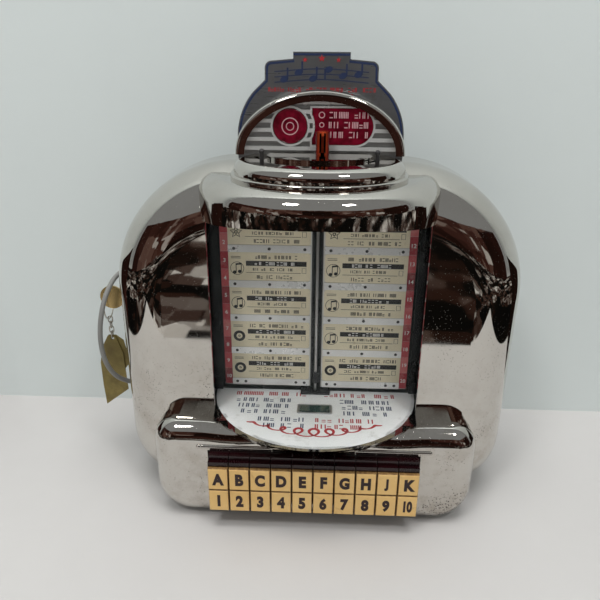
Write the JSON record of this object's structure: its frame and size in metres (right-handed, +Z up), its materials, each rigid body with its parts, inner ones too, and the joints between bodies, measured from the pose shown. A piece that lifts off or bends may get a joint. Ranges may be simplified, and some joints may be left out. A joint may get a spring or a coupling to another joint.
{
  "type": "jukebox wall box selector",
  "caption": "Chrome wall-mounted jukebox selector with a curved title window, turning title pages, letter and number keys, coin dome and sign topper.",
  "frame": {"origin": "on the table plane under the middle of the cover, 24 mm behind the cover's flat front", "axes": "+X to the right seen from the front, +Y to the wall, +Z up"},
  "size_m": [0.3482, 0.1513, 0.3475],
  "materials": {
    "chrome": "polished, worn",
    "pan_steel": "grey enamel",
    "hinge_steel": "plain",
    "zinc": "zinc plated",
    "switch": "phenolic board",
    "glass": "clear",
    "floor_plate": "printed satin",
    "green_lens": "dark green",
    "red_lens": "deep red",
    "amber_lens": "amber red",
    "sign": "printed satin",
    "brass": "worn",
    "maroon": "satin",
    "rail": "satin",
    "page": "printed",
    "paper": "aged card",
    "lever": "dark",
    "key_cap": "polished cream",
    "chain": "dull",
    "tag": "amber brown",
    "cord": "grey",
    "grommet": "black"
  },
  "bodies": {
    "pan": {"rear_pan": "pan_steel", "hinge_fixed_leaves": "hinge_steel", "coin_mechanism": "zinc", "cash_box": "zinc", "stepping_switch": "switch", "terminal_strip": "switch"},
    "cover": {"cover_shell": "chrome", "window_hood": "chrome", "base_casting": "chrome", "bay_glass": "glass", "window_floor": "floor_plate", "indicator_lens": "green_lens", "coin_tray": "chrome", "coin_dome": "chrome", "round_lens": "red_lens", "wide_lens": "red_lens", "coin_slot_insert": "amber_lens", "topper_plate": "sign", "hinge_door_leaves": "hinge_steel", "lock_barrel": "brass", "key_frame": "maroon", "key_step_strip": "maroon", "spring_comb": "hinge_steel", "page_frame": "rail", "page_spindle": "hinge_steel", "fixed_pages": "page", "title_strips_left": "paper", "cord": "cord", "cord_grommets": "grommet"},
    "page_lever_left": {"page_lever_left": "lever"},
    "page_lever_right": {"page_lever_right": "lever"},
    "key": {"lock_plug": "brass", "lock_key": "brass"},
    "tag": {"key_chain": "chain", "key_tags": "tag"},
    "leaf_1": {"page_leaf_1": "page", "title_strips_right": "paper"},
    "leaf_2": {"page_leaf_2": "page"},
    "leaf_3": {"page_leaf_3": "page"},
    "leaf_4": {"page_leaf_4": "page"},
    "number_1": {"key_number_1": "key_cap"},
    "letter_a": {"key_letter_a": "key_cap"},
    "number_2": {"key_number_2": "key_cap"},
    "letter_b": {"key_letter_b": "key_cap"},
    "number_3": {"key_number_3": "key_cap"},
    "letter_c": {"key_letter_c": "key_cap"},
    "number_4": {"key_number_4": "key_cap"},
    "letter_d": {"key_letter_d": "key_cap"},
    "number_5": {"key_number_5": "key_cap"},
    "letter_e": {"key_letter_e": "key_cap"},
    "number_6": {"key_number_6": "key_cap"},
    "letter_f": {"key_letter_f": "key_cap"},
    "number_7": {"key_number_7": "key_cap"},
    "letter_g": {"key_letter_g": "key_cap"},
    "number_8": {"key_number_8": "key_cap"},
    "letter_h": {"key_letter_h": "key_cap"},
    "number_9": {"key_number_9": "key_cap"},
    "letter_j": {"key_letter_j": "key_cap"},
    "number_10": {"key_number_10": "key_cap"},
    "letter_k": {"key_letter_k": "key_cap"}
  },
  "joints": [
    {"name": "cover_swing", "type": "hinge", "parent": "pan", "child": "cover", "pos_m": [0.156, 0.0476, 0], "axis": [0, 0, 1], "range_deg": [0, 100]},
    {"name": "key_turn", "type": "hinge", "parent": "cover", "child": "key", "pos_m": [-0.157, 0.0272, 0.158], "axis": [1, 0, 0], "range_deg": [0, 90]},
    {"name": "tag_swing", "type": "hinge", "parent": "cover", "child": "tag", "pos_m": [-0.176, 0.0272, 0.158], "axis": [1, 0, 0], "range_deg": [0, 12]},
    {"name": "page_turn", "type": "hinge", "parent": "cover", "child": "leaf_1", "pos_m": [0, 0.008, 0], "axis": [0, 0, 1], "range_deg": [-180, 0]},
    {"name": "page_turn_2", "type": "hinge", "parent": "cover", "child": "leaf_2", "pos_m": [0, 0.008, 0], "axis": [0, 0, 1], "range_deg": [-180, 0]},
    {"name": "page_turn_3", "type": "hinge", "parent": "cover", "child": "leaf_3", "pos_m": [0, 0.008, 0], "axis": [0, 0, 1], "range_deg": [-180, 0]},
    {"name": "page_turn_4", "type": "hinge", "parent": "cover", "child": "leaf_4", "pos_m": [0, 0.008, 0], "axis": [0, 0, 1], "range_deg": [-180, 0]},
    {"name": "lever_left_turn", "type": "hinge", "parent": "cover", "child": "page_lever_left", "pos_m": [0, 0.008, 0], "axis": [0, 0, 1], "range_deg": [-12, 0]},
    {"name": "lever_right_turn", "type": "hinge", "parent": "cover", "child": "page_lever_right", "pos_m": [0, 0.008, 0], "axis": [0, 0, 1], "range_deg": [-12, 0]},
    {"name": "press_number_1", "type": "slide", "parent": "cover", "child": "number_1", "axis": [0, 1, 0], "range_m": [0, 0.004], "stiffness_N_per_m": 180, "springref_m": -0.002},
    {"name": "press_letter_a", "type": "slide", "parent": "cover", "child": "letter_a", "axis": [0, 1, 0], "range_m": [0, 0.004], "stiffness_N_per_m": 180, "springref_m": -0.002},
    {"name": "press_number_2", "type": "slide", "parent": "cover", "child": "number_2", "axis": [0, 1, 0], "range_m": [0, 0.004], "stiffness_N_per_m": 180, "springref_m": -0.002},
    {"name": "press_letter_b", "type": "slide", "parent": "cover", "child": "letter_b", "axis": [0, 1, 0], "range_m": [0, 0.004], "stiffness_N_per_m": 180, "springref_m": -0.002},
    {"name": "press_number_3", "type": "slide", "parent": "cover", "child": "number_3", "axis": [0, 1, 0], "range_m": [0, 0.004], "stiffness_N_per_m": 180, "springref_m": -0.002},
    {"name": "press_letter_c", "type": "slide", "parent": "cover", "child": "letter_c", "axis": [0, 1, 0], "range_m": [0, 0.004], "stiffness_N_per_m": 180, "springref_m": -0.002},
    {"name": "press_number_4", "type": "slide", "parent": "cover", "child": "number_4", "axis": [0, 1, 0], "range_m": [0, 0.004], "stiffness_N_per_m": 180, "springref_m": -0.002},
    {"name": "press_letter_d", "type": "slide", "parent": "cover", "child": "letter_d", "axis": [0, 1, 0], "range_m": [0, 0.004], "stiffness_N_per_m": 180, "springref_m": -0.002},
    {"name": "press_number_5", "type": "slide", "parent": "cover", "child": "number_5", "axis": [0, 1, 0], "range_m": [0, 0.004], "stiffness_N_per_m": 180, "springref_m": -0.002},
    {"name": "press_letter_e", "type": "slide", "parent": "cover", "child": "letter_e", "axis": [0, 1, 0], "range_m": [0, 0.004], "stiffness_N_per_m": 180, "springref_m": -0.002},
    {"name": "press_number_6", "type": "slide", "parent": "cover", "child": "number_6", "axis": [0, 1, 0], "range_m": [0, 0.004], "stiffness_N_per_m": 180, "springref_m": -0.002},
    {"name": "press_letter_f", "type": "slide", "parent": "cover", "child": "letter_f", "axis": [0, 1, 0], "range_m": [0, 0.004], "stiffness_N_per_m": 180, "springref_m": -0.002},
    {"name": "press_number_7", "type": "slide", "parent": "cover", "child": "number_7", "axis": [0, 1, 0], "range_m": [0, 0.004], "stiffness_N_per_m": 180, "springref_m": -0.002},
    {"name": "press_letter_g", "type": "slide", "parent": "cover", "child": "letter_g", "axis": [0, 1, 0], "range_m": [0, 0.004], "stiffness_N_per_m": 180, "springref_m": -0.002},
    {"name": "press_number_8", "type": "slide", "parent": "cover", "child": "number_8", "axis": [0, 1, 0], "range_m": [0, 0.004], "stiffness_N_per_m": 180, "springref_m": -0.002},
    {"name": "press_letter_h", "type": "slide", "parent": "cover", "child": "letter_h", "axis": [0, 1, 0], "range_m": [0, 0.004], "stiffness_N_per_m": 180, "springref_m": -0.002},
    {"name": "press_number_9", "type": "slide", "parent": "cover", "child": "number_9", "axis": [0, 1, 0], "range_m": [0, 0.004], "stiffness_N_per_m": 180, "springref_m": -0.002},
    {"name": "press_letter_j", "type": "slide", "parent": "cover", "child": "letter_j", "axis": [0, 1, 0], "range_m": [0, 0.004], "stiffness_N_per_m": 180, "springref_m": -0.002},
    {"name": "press_number_10", "type": "slide", "parent": "cover", "child": "number_10", "axis": [0, 1, 0], "range_m": [0, 0.004], "stiffness_N_per_m": 180, "springref_m": -0.002},
    {"name": "press_letter_k", "type": "slide", "parent": "cover", "child": "letter_k", "axis": [0, 1, 0], "range_m": [0, 0.004], "stiffness_N_per_m": 180, "springref_m": -0.002}
  ],
  "couplings": [
    {"joint": "page_turn_2", "follows": "page_turn", "ratio": 1},
    {"joint": "page_turn_3", "follows": "page_turn", "ratio": 1},
    {"joint": "page_turn_4", "follows": "page_turn", "ratio": 1},
    {"joint": "lever_left_turn", "follows": "page_turn", "ratio": 0.066667},
    {"joint": "lever_right_turn", "follows": "page_turn", "ratio": 0.066667}
  ]
}
